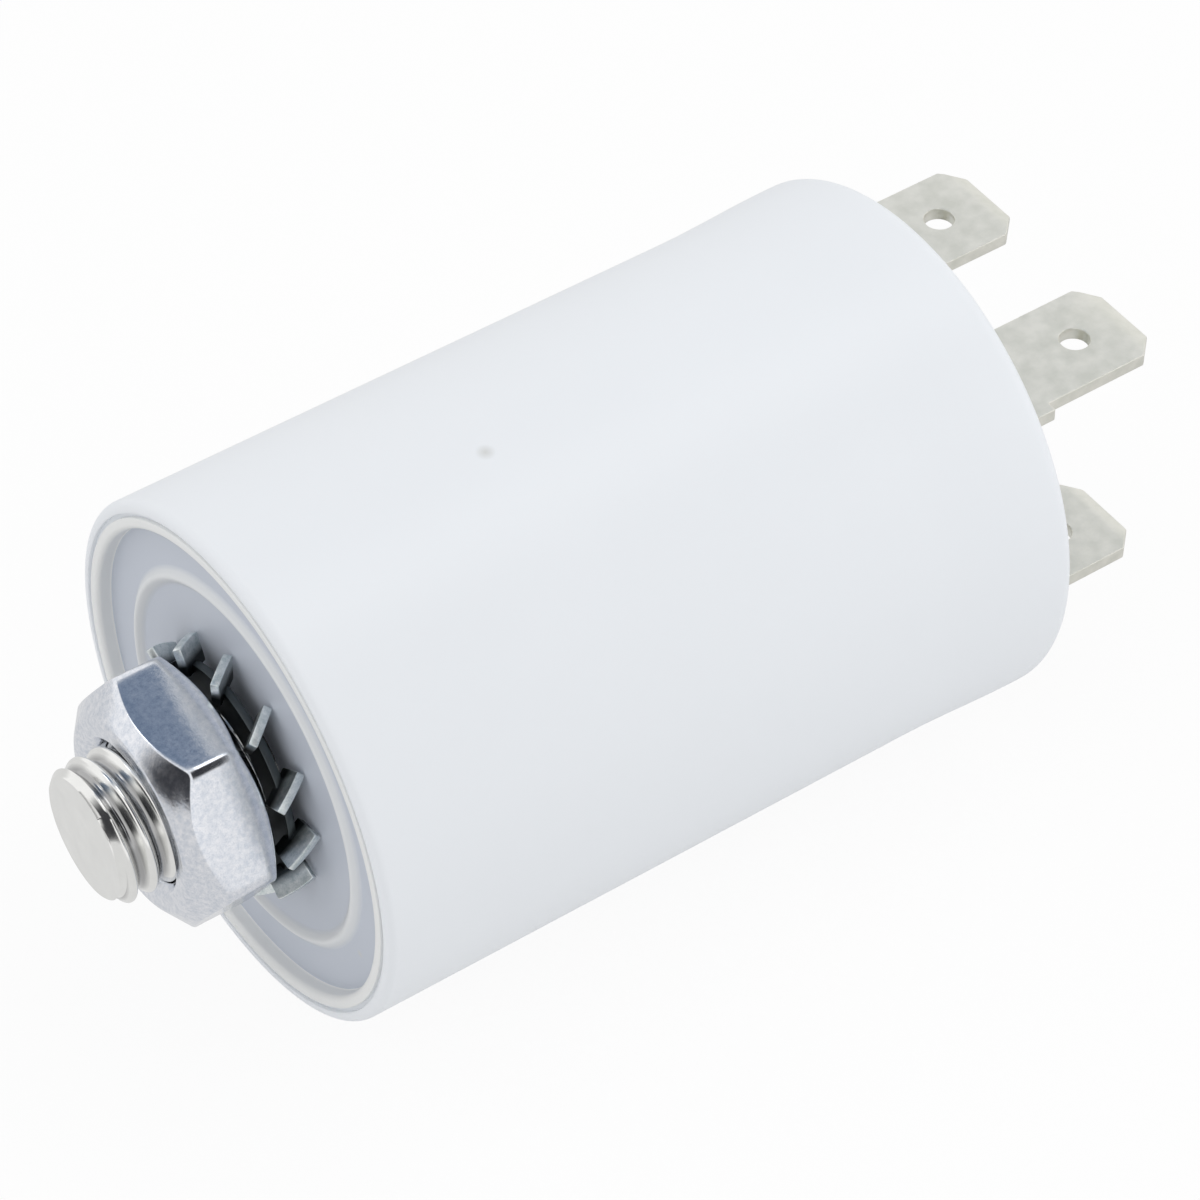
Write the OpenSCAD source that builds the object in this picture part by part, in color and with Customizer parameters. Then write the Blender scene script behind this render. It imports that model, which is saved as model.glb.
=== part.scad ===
// Motor run capacitor in a moulded case: base stud at one end, four push-on tabs at the other.
// Millimetres. The case axis runs along +X, from the stud to the tabs. The origin lies on the
// stud's axis in the plane of the base rim, and the case lies on its side with +Z up.

/* [Case] */
// Outside diameter of the case
case_diameter = 30; // [28:1:44]
// Length of the case from the base rim to its mouth
case_length = 44; // [40:1:90]
// Thickness of the case wall
case_wall = 1.4; // [1.2:0.1:2]
// Gain in radius where the wall swells at the mouth
mouth_flare = 0.25; // [0.1:0.05:0.6]
// Length of the swelling at the mouth
flare_length = 8; // [5:1:12]
// Rounding of the outer edge at the mouth
mouth_round = 0.9; // [0.4:0.1:1.1]
// Rounding of the outer edge at the base
base_round = 0.5; // [0.3:0.1:0.8]

/* [Base] */
// Depth of the base floor below the rim
floor_recess = 0.9; // [0.6:0.1:1.5]
// Thickness of the base floor
floor_thickness = 1.8; // [1.4:0.1:3]
// Width of the base rim
rim_width = 1.6; // [1.4:0.1:2.2]
// Width of the groove that splits the rim
groove_width = 0.25; // [0.2:0.05:0.4]
// Depth of the groove that splits the rim
groove_depth = 0.25; // [0.1:0.05:0.4]
// Diameter of the raised ring on the base floor
ring_diameter = 21; // [20:0.5:23]
// Width of the raised ring
ring_width = 0.6; // [0.4:0.1:1]
// Height of the raised ring
ring_height = 0.35; // [0.2:0.05:0.5]
// Wall of the boss round the head of the stud
boss_wall = 1.4; // [1:0.1:2]

/* [Stud] */
// Thread diameter of the stud
stud_diameter = 8; // [6:1:8]
// Reach of the stud past the base rim
stud_reach = 8.9; // [8:0.1:16]
// Length of the cone at the stud's tip
stud_tip = 0.5; // [0.4:0.05:1.2]
// Width across the flats of the moulded-in head
head_width = 13; // [12:0.5:14]
// Thickness of the moulded-in head
head_thickness = 2.6; // [2:0.1:4]

/* [Nut and washer] */
// Width across the flats of the nut
nut_width = 13; // [12:0.5:14]
// Thickness of the nut
nut_thickness = 5; // [4:0.1:6.5]
// Turn of the nut about the stud
nut_turn = 5; // [0:1:59]
// Bore of the tooth washer
washer_bore = 8.4; // [8.2:0.1:9]
// Reach of the washer's teeth past the flats of the nut
tooth_overhang = 0.9; // [0.6:0.1:2]
// Thickness of the washer's sheet
washer_sheet = 0.5; // [0.4:0.1:0.9]
// Diameter of the washer's flat ring
washer_ring = 12.4; // [11:0.2:12.6]
// Number of teeth on the washer
washer_teeth = 12; // [9:1:14]
// Width of a tooth at its root
tooth_root = 2.1; // [1.8:0.1:2.8]
// Width of a tooth at its tip
tooth_tip = 2.3; // [1:0.1:2.8]
// Twist of each tooth about its own length
tooth_twist = 50; // [20:1:60]

/* [Lid] */
// Thickness of the lid
lid_thickness = 2.4; // [2:0.1:4]
// Depth of the lid's face below the mouth
lid_recess = 1.2; // [0.8:0.1:2]
// Height of the ledge that carries the lid, across the wall
lid_ledge = 0.4; // [0.3:0.05:0.6]
// Thickness of the barrier between the two poles
barrier_width = 1.2; // [0.8:0.1:1.6]
// Height of the barrier above the lid's face
barrier_height = 1.8; // [1:0.1:4]
// Length of the barrier
barrier_length = 22; // [16:1:24]
// Depth of the pockets that seat the terminals
pocket_depth = 0.4; // [0.2:0.1:0.8]

/* [Terminals] */
// Width of a push-on tab
tab_width = 6.3; // [4.8:0.1:6.3]
// Thickness of the terminal sheet
tab_thickness = 0.8; // [0.6:0.1:1]
// Reach of the tabs past the mouth
tab_reach = 10.2; // [9:0.1:14]
// Width of the tab's root
root_width = 7.5; // [6.6:0.1:7.8]
// Reach of the root past the mouth
root_reach = 2.4; // [1:0.1:3]
// Slope cut off each corner of a tab's tip
tab_corner = 1.2; // [0.8:0.1:1.6]
// Diameter of the locking hole in a tab
tab_hole = 1.7; // [1.5:0.1:2]
// Length of the bevel that leads a receptacle on to a tab
tab_lead = 0.9; // [0.5:0.1:1.2]
// Depth of that bevel on each face
tab_lead_depth = 0.2; // [0.1:0.05:0.25]
// Distance from a tab's tip to its hole
tab_hole_setback = 3.5; // [3:0.1:4]
// Distance between the middles of the two poles
pole_spacing = 12; // [11:0.5:13]
// Distance between the middles of a pole's two tabs
tab_spacing = 14.8; // [13:0.2:16]
// Inside radius of the bends
bend_inside = 0.6; // [0.4:0.1:1]

/* [Rivets and tags] */
// Diameter of the rivet's shank
rivet_shank = 2.8; // [2.4:0.1:3.2]
// Diameter of the rivet's outer head
rivet_head = 4.8; // [4.2:0.1:5.4]
// Height of the rivet's outer head
rivet_head_height = 0.7; // [0.5:0.1:1]
// Diameter of the rivet's closed end
rivet_tail = 4; // [3.6:0.1:4.4]
// Height of the rivet's closed end
rivet_tail_height = 0.6; // [0.4:0.1:0.8]
// Thickness of the inner solder tag
tag_thickness = 0.5; // [0.4:0.1:0.8]
// Diameter of the tag's eye
tag_eye = 5.2; // [5:0.1:6]
// Width of the tag's tongue
tag_tongue = 2.6; // [2:0.1:3]

/* [Winding] */
// Gap between the winding's wrap and the case wall
side_gap = 1.4; // [1.4:0.1:2]
// Thickness of the wrap round the winding
wrap_thickness = 0.35; // [0.2:0.05:0.6]
// Diameter of the winding's core
core_diameter = 6; // [5:0.5:8]
// Wall of the winding's core
core_wall = 1; // [0.8:0.1:1.5]
// Thickness of the sprayed metal on the winding's ends
spray_thickness = 0.8; // [0.5:0.1:1.2]
// Resin between the boss and the long lead
resin_skin = 0.3; // [0.2:0.1:1]
// Space over the winding
room_above = 5; // [4.5:0.1:8]
// Space between the top of the resin and the underside of the lid
resin_drop = 10; // [8:0.5:14]

/* [Leads] */
// Diameter of the bare lead
wire_diameter = 0.7; // [0.5:0.05:0.8]
// Wall of the sleeve on the long lead
sleeve_wall = 0.22; // [0.15:0.01:0.25]
// Radius of the bends in the leads
wire_bend = 1; // [0.8:0.1:1.2]
// Distance from the winding's edge to the long lead's joint on its end
joint_inset = 2.2; // [1.8:0.1:2.6]
// Diameter of a solder joint
solder_diameter = 1.8; // [1.6:0.1:2]
// Length of bare lead past the middle of a joint
wire_tail = 0.5; // [0.3:0.05:0.6]
// Length of the short lead's foot on the winding
short_foot = 3; // [2.5:0.1:4]
// Clearance between a rivet's closed end and the joint beside it
joint_clearance = 0.3; // [0.2:0.1:0.6]

/* [Fits] */
// Clearance round what is moulded in or packed tight
mould_gap = 0.02; // [0.01:0.01:0.05]
// Clearance between a piece and its seat
seat_gap = 0.05; // [0.02:0.01:0.1]
// Clearance between the stud and the nut
thread_gap = 0.05; // [0.02:0.01:0.1]

/* [Hidden] */
$fn = 96;

// Case, from its base to its mouth
case_r = case_diameter / 2;
mouth_r = case_r + mouth_flare;
bore_r = case_r - case_wall;
lid_seat_r = bore_r + lid_ledge;
rim_inner_r = case_r - rim_width;
floor_inner = floor_recess + floor_thickness;
lid_face = case_length - lid_recess;
lid_under = lid_face - lid_thickness;
mouth_chamfer = 0.3;

// Stud, boss, washer and nut
stud_r = stud_diameter / 2;
tip_r = stud_r - stud_tip;
head_start = floor_inner;
head_end = head_start + head_thickness;
head_corner_r = head_width / 2 / cos(30);
boss_r = head_corner_r + boss_wall;
boss_top = head_end + boss_wall;
head_turn = 15;
washer_r = nut_width / 2 + tooth_overhang;
washer_height = max(tooth_root, tooth_tip) * sin(tooth_twist) + washer_sheet * cos(tooth_twist);
washer_middle = floor_recess - mould_gap - washer_height / 2;
nut_rear = floor_recess - washer_height - 2 * mould_gap;
nut_front = nut_rear - nut_thickness;
nut_bore_r = stud_r + thread_gap;
nut_corner_r = nut_width / 2 / cos(30);
nut_face_r = 0.85 * nut_width / 2;
nut_seat_r = 0.95 * nut_width / 2;
nut_sink = 0.5;
front_chamfer = 38;
rear_chamfer = 30;

// Terminals, rivets and tags
pocket_floor = lid_face - pocket_depth;
plate_top = pocket_floor + tab_thickness;
tab_end = case_length + tab_reach;
root_end = case_length + root_reach;
pole_y = pole_spacing / 2;
blade_outer_z = (tab_spacing + tab_thickness) / 2;
bend_outer = bend_inside + tab_thickness;
shank_r = rivet_shank / 2;
tag_under = lid_under - tag_thickness;

// Winding and its ends
wrap_r = bore_r - side_gap;
winding_r = wrap_r - wrap_thickness;
core_r = core_diameter / 2;
wire_r = wire_diameter / 2;
wire_lift = 0.1;
solder_r = solder_diameter / 2;
bead_height = wire_lift + wire_r + solder_r;
slot_floor = boss_top + mould_gap + resin_skin;
pack_start = slot_floor + bead_height + seat_gap;
pack_end = lid_under - room_above;
film_start = pack_start + spray_thickness;
film_end = pack_end - spray_thickness;
resin_top = lid_under - resin_drop;

// Leads
side_wire_r = (bore_r + wrap_r) / 2;
sleeve_r = wire_r + mould_gap + sleeve_wall;
low_wire_x = pack_start - wire_r - wire_lift;
high_wire_x = tag_under - wire_r - wire_lift;
short_wire_x = pack_end + wire_r + wire_lift;
low_joint_y = winding_r - joint_inset;
tag_joint_y = pole_y + rivet_tail / 2 + joint_clearance + solder_r;
short_joint_y = -tag_joint_y + short_foot - wire_tail;
tongue_end = tag_joint_y + solder_r + joint_clearance;
slot_width = 2 * (max(solder_r, sleeve_r) + seat_gap);
sleeve_end_gap = 0.3;

// Turns a shape so that its own Z axis runs along +X, its X along +Y and its Y along +Z
module along_x() { rotate([90, 0, 90]) children(); }

// Cylinder along +X between two stations
module rod(x0, x1, r) { translate([x0, 0, 0]) along_x() cylinder(h = x1 - x0, r = r); }

// Tube along +X between two stations
module tube(x0, x1, outer, inner) {
    difference() {
        rod(x0, x1, outer);
        rod(x0 - 1, x1 + 1, inner);
    }
}

// Points of an arc about [cx, cy]
function arc(cx, cy, r, from, to, steps = 8) =
    [for (i = [0:steps]) let (a = from + (to - from) * i / steps) [cx + r * cos(a), cy + r * sin(a)]];

// Outside of the case as [radius, station]: rounded base edge, straight wall, soft swell, round mouth
function case_outline() = concat(
    [[0, 0]],
    arc(case_r - base_round, base_round, base_round, -90, 0),
    [for (i = [0:8]) let (t = i / 8)
        [case_r + mouth_flare * (1 - cos(180 * t)) / 2, case_length - mouth_round - flare_length * (1 - t)]],
    arc(mouth_r - mouth_round, case_length - mouth_round, mouth_round, 0, 90),
    [[0, case_length]]
);

// Moulded cup with a recessed base, a split rim, a raised ring and a boss for the stud's head
module case() color("white") difference() {
    union() {
        difference() {
            along_x() rotate_extrude() polygon(case_outline());
            rod(-1, floor_recess, rim_inner_r);
            tube(-1, groove_depth, rim_inner_r + rim_width / 2 + groove_width / 2,
                rim_inner_r + rim_width / 2 - groove_width / 2);
            rod(floor_inner, case_length + 1, bore_r);
            rod(lid_under, case_length + 1, lid_seat_r);
            translate([case_length - mouth_chamfer, 0, 0]) along_x()
                cylinder(h = 2 * mouth_chamfer, r1 = lid_seat_r, r2 = lid_seat_r + 2 * mouth_chamfer);
        }
        tube(floor_recess - ring_height, floor_recess + mould_gap, (ring_diameter + ring_width) / 2,
            (ring_diameter - ring_width) / 2);
        rod(floor_inner - mould_gap, boss_top, boss_r);
    }
    rod(-1, head_end, stud_r + mould_gap);
    stud_head(mould_gap);
}

// Six-sided head of the stud, grown all round by a clearance
module stud_head(gap) {
    translate([head_start - gap, 0, 0]) along_x() rotate(head_turn)
        cylinder(h = head_thickness + 2 * gap, r = head_corner_r + gap / cos(30), $fn = 6);
}

// Threaded stud with a coned tip, held in the case by its head
module mounting_stud() color("silver") union() {
    rod(-stud_reach + stud_tip, head_start + mould_gap, stud_r);
    translate([-stud_reach, 0, 0]) along_x() cylinder(h = stud_tip, r1 = tip_r, r2 = stud_r);
    stud_head(0);
}

// Nut with both faces chamfered and its thread countersunk
module hex_nut() color("lightsteelblue") difference() {
    intersection() {
        translate([nut_front, 0, 0]) along_x() rotate(nut_turn)
            cylinder(h = nut_thickness, r = nut_corner_r, $fn = 6);
        translate([nut_front, 0, 0]) along_x() nut_chamfers();
    }
    rod(nut_front - 1, nut_rear + 1, nut_bore_r);
    translate([nut_front, 0, 0]) along_x()
        cylinder(h = nut_sink, r1 = nut_bore_r + nut_sink, r2 = nut_bore_r);
    translate([nut_rear - nut_sink, 0, 0]) along_x()
        cylinder(h = nut_sink, r1 = nut_bore_r, r2 = nut_bore_r + nut_sink);
}

// Turned shape that cuts the nut's corners back at both faces
module nut_chamfers() {
    full_r = nut_corner_r + 0.1;
    front = (full_r - nut_face_r) * tan(front_chamfer);
    rear = (full_r - nut_seat_r) * tan(rear_chamfer);
    rotate_extrude() polygon([
        [0, 0], [nut_face_r, 0], [full_r, front],
        [full_r, nut_thickness - rear], [nut_seat_r, nut_thickness], [0, nut_thickness],
    ]);
}

// Spring washer with twisted teeth round a flat ring
module tooth_lock_washer() color("lightslategray") translate([washer_middle, 0, 0]) along_x()
difference() {
    union() {
        cylinder(h = washer_sheet, d = washer_ring, center = true);
        for (i = [0:washer_teeth - 1]) rotate(i * 360 / washer_teeth) tooth();
    }
    cylinder(h = 4 * washer_height, d = washer_bore, center = true);
}

// One tooth, turned about its own length
module tooth() {
    root = washer_ring / 2 - washer_sheet;
    rotate([-tooth_twist, 0, 0]) linear_extrude(height = washer_sheet, center = true)
        polygon([
            [root, -tooth_root / 2], [washer_r, -tooth_tip / 2],
            [washer_r, tooth_tip / 2], [root, tooth_root / 2],
        ]);
}

// Round lid with pockets for the terminals and a barrier between them
module terminal_lid() color("whitesmoke") difference() {
    union() {
        rod(lid_under + mould_gap, lid_face, lid_seat_r - seat_gap);
        translate([lid_face - mould_gap, -barrier_width / 2, -barrier_length / 2])
            cube([barrier_height + mould_gap, barrier_width, barrier_length]);
    }
    for (side = [-1, 1]) translate([0, side * pole_y, 0]) {
        translate([pocket_floor, -root_width / 2 - seat_gap, -blade_outer_z - seat_gap])
            cube([pocket_depth + 1, root_width + 2 * seat_gap, 2 * (blade_outer_z + seat_gap)]);
        rod(lid_under - 1, lid_face + 1, shank_r + seat_gap);
    }
}

// Outline of the bent sheet seen from the side, as [station, height]
module sheet_fold() {
    difference() {
        translate([pocket_floor, -blade_outer_z]) square([tab_end - pocket_floor, 2 * blade_outer_z]);
        translate([pocket_floor + bend_outer, -blade_outer_z + tab_thickness])
            square([tab_end - pocket_floor, 2 * (blade_outer_z - tab_thickness)]);
        translate([plate_top, -blade_outer_z + bend_outer])
            square([bend_outer, 2 * (blade_outer_z - bend_outer)]);
        for (side = [-1, 1]) scale([1, side]) {
            tip_bevel(blade_outer_z, -1);
            tip_bevel(blade_outer_z - tab_thickness, 1);
            translate([pocket_floor + bend_outer, blade_outer_z - bend_outer]) circle(r = bend_inside, $fn = 32);
            difference() {
                translate([pocket_floor - 1, blade_outer_z - bend_outer]) square([bend_outer + 1, bend_outer + 1]);
                translate([pocket_floor + bend_outer, blade_outer_z - bend_outer])
                    circle(r = bend_outer, $fn = 32);
            }
        }
    }
}

// Wedge that bevels one face of a tab at its tip, cutting inwards along way
module tip_bevel(face, way) {
    polygon([
        [tab_end - tab_lead, face], [tab_end + tab_lead, face],
        [tab_end + tab_lead, face + way * 2 * tab_lead_depth],
    ]);
}

// Outline of the sheet seen along its height, as [station, across]: wide root, tab and cut corners
module sheet_plan() {
    polygon([
        [pocket_floor - 1, -root_width / 2], [root_end, -root_width / 2], [root_end, -tab_width / 2],
        [tab_end - tab_corner, -tab_width / 2], [tab_end, -tab_width / 2 + tab_corner],
        [tab_end, tab_width / 2 - tab_corner], [tab_end - tab_corner, tab_width / 2],
        [root_end, tab_width / 2], [root_end, root_width / 2], [pocket_floor - 1, root_width / 2],
    ]);
}

// One pole: a strip bent into a U, with a tab at each end and a rivet hole between them
module twin_terminal(side) color("tan") translate([0, side * pole_y, 0]) difference() {
    intersection() {
        rotate([90, 0, 0]) linear_extrude(height = 2 * root_width, center = true) sheet_fold();
        linear_extrude(height = 4 * blade_outer_z, center = true) sheet_plan();
    }
    rod(pocket_floor - 1, plate_top + 1, shank_r + seat_gap);
    translate([tab_end - tab_hole_setback, 0, -2 * blade_outer_z])
        cylinder(h = 4 * blade_outer_z, d = tab_hole);
}

// Rivet that clamps a terminal, the lid and a solder tag
module rivet(side) color("gainsboro") translate([0, side * pole_y, 0]) union() {
    rod(tag_under - rivet_tail_height, tag_under - mould_gap, rivet_tail / 2);
    rod(tag_under - rivet_tail_height, plate_top + rivet_head_height, shank_r);
    rod(plate_top + mould_gap, plate_top + rivet_head_height, rivet_head / 2);
}

// Flat tag under the lid, with an eye round the rivet and a tongue for the lead
module solder_tag(side) color("burlywood") difference() {
    union() {
        translate([0, side * pole_y, 0]) rod(tag_under, lid_under, tag_eye / 2);
        translate([tag_under, side > 0 ? pole_y : -tongue_end, -tag_tongue / 2])
            cube([tag_thickness, tongue_end - pole_y, tag_tongue]);
    }
    translate([0, side * pole_y, 0]) rod(tag_under - 1, lid_under + 1, shank_r + seat_gap);
}

// Roll of metallised film
module film_winding() color("lightgray") tube(film_start, film_end, winding_r, core_r);

// Hollow core that the film is wound on
module winding_core() color("ivory") tube(pack_start, pack_end, core_r - mould_gap, core_r - core_wall);

// Plain film wrapped round the winding
module winding_wrap() color("gold") tube(film_start, film_end, wrap_r, winding_r + mould_gap);

// Metal sprayed on one end of the winding
module end_spray(start) color("darkgray") tube(start, start + spray_thickness, winding_r, core_r);

// Quarter bend of the lead, from the radial direction to the axial one
module lead_bend(x, y, turn) {
    translate([x, y, 0]) rotate([0, 0, turn]) rotate_extrude(angle = 90)
        translate([wire_bend, 0]) circle(r = wire_r, $fn = 24);
}

// Straight length of lead across the axis
module cross_wire(x, y0, y1, r) {
    translate([x, y0, 0]) rotate([-90, 0, 0]) cylinder(h = y1 - y0, r = r, $fn = 24);
}

// Long lead: from the lower end of the winding, up its side, to the left tag
module lead_lower() color("silver") union() {
    cross_wire(low_wire_x, low_joint_y - wire_tail, side_wire_r - wire_bend, wire_r);
    lead_bend(low_wire_x + wire_bend, side_wire_r - wire_bend, 90);
    translate([0, side_wire_r, 0]) rod(low_wire_x + wire_bend, high_wire_x - wire_bend, wire_r, $fn = 24);
    lead_bend(high_wire_x - wire_bend, side_wire_r - wire_bend, 0);
    cross_wire(high_wire_x, tag_joint_y - wire_tail, side_wire_r - wire_bend, wire_r);
}

// Short lead: from the upper end of the winding to the right tag
module lead_upper() color("silver") union() {
    cross_wire(short_wire_x, -tag_joint_y + wire_bend, short_joint_y + wire_tail, wire_r);
    lead_bend(short_wire_x + wire_bend, -tag_joint_y + wire_bend, 180);
    translate([0, -tag_joint_y, 0]) rod(short_wire_x + wire_bend, tag_under - mould_gap, wire_r, $fn = 24);
}

// Insulating sleeve on the long lead, beside the winding
module lead_sleeve() color("dimgray") translate([0, side_wire_r, 0])
    tube(low_wire_x + wire_bend + sleeve_end_gap, high_wire_x - wire_bend - sleeve_end_gap,
        sleeve_r, wire_r + mould_gap);

// Domed bead of solder that stands on a face and rises along +X, or along -X where way is -1
module solder_bead(seat, y, way) {
    translate([seat, y, 0]) mirror([way < 0 ? 1 : 0, 0, 0]) along_x() rotate_extrude()
        polygon(concat([[0, mould_gap], [solder_r, mould_gap]], arc(0, bead_height - solder_r, solder_r, 0, 90)));
}

// Joint between the long lead and the lower end of the winding
module solder_lower() color("gainsboro") difference() {
    solder_bead(pack_start, low_joint_y, -1);
    cross_wire(low_wire_x, low_joint_y - wire_tail - mould_gap, side_wire_r, wire_r + mould_gap);
}

// Joint between the short lead and the upper end of the winding
module solder_upper() color("gainsboro") difference() {
    solder_bead(pack_end, short_joint_y, 1);
    cross_wire(short_wire_x, -tag_joint_y, short_joint_y + wire_tail + mould_gap, wire_r + mould_gap);
}

// Joint between the long lead and the left tag
module solder_left() color("gainsboro") difference() {
    solder_bead(tag_under, tag_joint_y, -1);
    cross_wire(high_wire_x, tag_joint_y - wire_tail - mould_gap, side_wire_r, wire_r + mould_gap);
}

// Joint between the short lead and the right tag
module solder_right() color("gainsboro") difference() {
    solder_bead(tag_under, -tag_joint_y, -1);
    translate([0, -tag_joint_y, 0]) rod(tag_under - 2 * bead_height, tag_under, wire_r + mould_gap);
}

// Cast resin under and round the winding, open where the long lead runs
module potting_resin() color("khaki") difference() {
    rod(floor_inner + mould_gap, resin_top, bore_r - mould_gap);
    rod(floor_inner - 1, boss_top + mould_gap, boss_r + mould_gap);
    rod(pack_start - mould_gap, resin_top + 1, wrap_r + mould_gap);
    translate([slot_floor, low_joint_y - solder_r - seat_gap, -slot_width / 2])
        cube([resin_top, bore_r, slot_width]);
}

case();
terminal_lid();
mounting_stud();
hex_nut();
tooth_lock_washer();
twin_terminal(1);  // terminal_left
twin_terminal(-1);  // terminal_right
rivet(1);  // rivet_left
rivet(-1);  // rivet_right
solder_tag(1);  // solder_tag_left
solder_tag(-1);  // solder_tag_right
film_winding();
winding_core();
winding_wrap();
end_spray(pack_start);  // end_spray_lower
end_spray(film_end);  // end_spray_upper
lead_lower();
lead_upper();
lead_sleeve();
solder_lower();
solder_upper();
solder_left();
solder_right();
potting_resin();
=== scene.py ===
"""Motor run capacitor: finishes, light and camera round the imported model.

Metres, in the model's own frame. The case's axis runs along +X, from the stud to the tabs, and the
origin lies on that axis in the plane of the base rim. MM turns millimetres into metres.
"""
import math

import bmesh
import bpy
from mathutils import Matrix, Vector


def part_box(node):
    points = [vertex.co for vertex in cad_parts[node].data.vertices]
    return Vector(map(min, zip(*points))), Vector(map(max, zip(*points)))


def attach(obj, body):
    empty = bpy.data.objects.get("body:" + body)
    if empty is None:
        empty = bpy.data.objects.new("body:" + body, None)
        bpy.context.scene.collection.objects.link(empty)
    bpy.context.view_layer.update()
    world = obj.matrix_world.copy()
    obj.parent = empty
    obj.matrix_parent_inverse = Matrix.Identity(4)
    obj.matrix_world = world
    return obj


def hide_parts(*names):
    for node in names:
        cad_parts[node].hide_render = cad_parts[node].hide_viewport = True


MM = 0.001
BODY = "root"
MERGE = 1e-7

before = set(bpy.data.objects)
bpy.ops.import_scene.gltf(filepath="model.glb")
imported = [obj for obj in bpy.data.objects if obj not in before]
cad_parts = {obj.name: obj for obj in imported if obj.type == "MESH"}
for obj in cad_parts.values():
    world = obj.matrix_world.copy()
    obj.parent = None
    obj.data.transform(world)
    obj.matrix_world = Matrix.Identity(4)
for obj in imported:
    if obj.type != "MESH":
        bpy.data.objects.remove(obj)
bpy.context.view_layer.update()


# ---------------------------------------------------------------- sizes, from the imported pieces

def node_span(node, axis):
    """Lowest and highest place of a node along one axis."""
    low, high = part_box(node)
    return low[axis], high[axis]


CASE_LENGTH = node_span("case", 0)[1]
MOUTH_R = node_span("case", 2)[1]
MOUTH_FLARE = 0.25 * MM
CASE_R = MOUTH_R - MOUTH_FLARE
LID_UNDER = node_span("terminal_lid", 0)[0]
STUD_TIP, HEAD_END = node_span("mounting_stud", 0)
STUD_R = 4 * MM
NUT_FRONT, NUT_REAR = node_span("hex_nut", 0)
NUT_TURN = math.radians(5)
NUT_CORNER_R = node_span("hex_nut", 1)[1] / math.cos(NUT_TURN)
NUT_HALF_WIDTH = NUT_CORNER_R * math.cos(math.pi / 6)
WASHER_LOW, WASHER_HIGH = node_span("tooth_lock_washer", 0)
WASHER_R = node_span("tooth_lock_washer", 1)[1]
FLOOR_Z = -MOUTH_R

# Case
CASE_STEPS = 192
BORE_R = CASE_R - 1.4 * MM
LID_SEAT_R = BORE_R + 0.4 * MM
RIM_INNER_R = CASE_R - 1.6 * MM
BASE_FLOOR = 0.9 * MM
FLOOR_INNER = 2.7 * MM
FLARE_LENGTH = 8 * MM
MOUTH_ROUND = 0.9 * MM
BASE_ROUND = 0.5 * MM
RING_R = 10.5 * MM
RING_HALF = 0.6 * MM
RING_POINTS = 16
RING_HEIGHT = 0.35 * MM
GROOVE_R = RIM_INNER_R + 0.8 * MM
GROOVE_HALF = 0.125 * MM
GROOVE_DEPTH = 0.25 * MM
STUD_HOLE_R = STUD_R + 0.02 * MM
POCKET_R = 7.53 * MM
BOSS_R = 8.9 * MM
BOSS_TOP = HEAD_END + 1.4 * MM
MOUTH_CHAMFER = 0.3 * MM
BASE_DEPTH = 1.3 * MM
DISC_R = 13.35 * MM
FOOT_ROUND = 0.15 * MM
LIP_ROUND = 0.3 * MM
BRIM_ROUND = 0.06 * MM

# Stud
PITCH = 1.25 * MM
THREAD_DEPTH = 0.44 * PITCH
ROOT_ROUND = 0.2 * PITCH
CREST_ROUND = 0.16 * PITCH
THREAD_STEPS = 96
TIP_CONE = 0.5 * MM
HEAD_START = 2.7 * MM
HEAD_WIDTH = 13 * MM
HEAD_TURN = math.radians(15)
HEAD_OVERLAP = 0.1 * MM
TIP_FACE = 0.3 * MM

# Nut
NUT_STEPS = 288
NUT_FACE_R = 0.85 * NUT_HALF_WIDTH
NUT_SEAT_R = 0.95 * NUT_HALF_WIDTH
FRONT_SLOPE = math.tan(math.radians(38))
REAR_SLOPE = math.tan(math.radians(30))
NUT_BORE_R = STUD_R + 0.05 * MM
NUT_SINK = 0.5 * MM
NUT_EDGE = 0.18 * MM
NUT_CORNER_ROUND = 0.6 * MM
CONE_RINGS = 3
SIDE_RINGS = 5

# Tooth washer
TEETH = 12
WASHER_SHEET = 0.5 * MM
WASHER_RING_R = 6.2 * MM
WASHER_BORE_R = 4.2 * MM
WASHER_SHADE_R = 6.3 * MM
TOOTH_ROOT = 2.1 * MM
TOOTH_TIP = 2.3 * MM
TOOTH_TWIST = math.radians(-50)
TIP_POINTS = 6
WASHER_STEPS = 96
TOOTH_EDGE = 0.07 * MM

# Rounded edges of the lid, the tabs and the rivets
EDGE_ANGLE = 30
LID_EDGE = 0.08 * MM
TAB_EDGE = 0.07 * MM
RIVET_EDGE = 0.2 * MM


# ---------------------------------------------------------------- shader maths

class Value:
    """One output of a node, which takes part in Python expressions."""

    def __init__(self, finish, socket):
        self.finish = finish
        self.socket = socket

    def __add__(self, other):
        return self.finish.maths("ADD", self, other)

    __radd__ = __add__

    def __sub__(self, other):
        return self.finish.maths("SUBTRACT", self, other)

    def __rsub__(self, other):
        return self.finish.maths("SUBTRACT", other, self)

    def __mul__(self, other):
        return self.finish.maths("MULTIPLY", self, other)

    __rmul__ = __mul__

    def __truediv__(self, other):
        return self.finish.maths("DIVIDE", self, other)

    def __rtruediv__(self, other):
        return self.finish.maths("DIVIDE", other, self)

    def __gt__(self, other):
        return self.finish.maths("GREATER_THAN", self, other)

    def __lt__(self, other):
        return self.finish.maths("LESS_THAN", self, other)


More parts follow.
